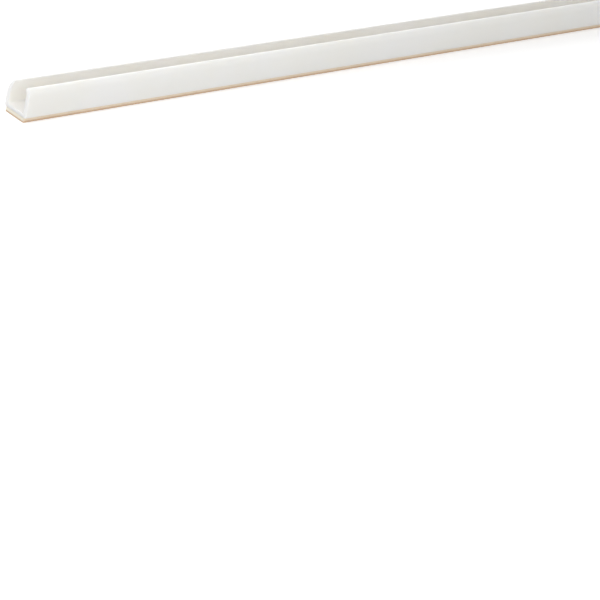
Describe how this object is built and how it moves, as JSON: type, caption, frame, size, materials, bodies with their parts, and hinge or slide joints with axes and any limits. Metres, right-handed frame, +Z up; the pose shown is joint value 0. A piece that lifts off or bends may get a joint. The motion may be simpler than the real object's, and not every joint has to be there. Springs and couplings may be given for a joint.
{
  "type": "cord cover raceway",
  "caption": "Straight white PVC cord channel with an open slot between two curved lips, on foam mounting tape with its release liner.",
  "frame": {"origin": "middle of the length and width, on the underside of the release liner", "axes": "+X along the length, -Y out of the front wall, +Y out of the back wall with the long lip, +Z up out of the slot"},
  "size_m": [0.4318, 0.0126, 0.0133],
  "materials": {
    "pvc": "smooth extruded, satin",
    "foam": "closed-cell foam with adhesive on both faces",
    "liner": "coated kraft paper"
  },
  "bodies": {
    "root": {"channel": "pvc", "foam_tape": "foam", "release_liner": "liner"}
  },
  "joints": []
}
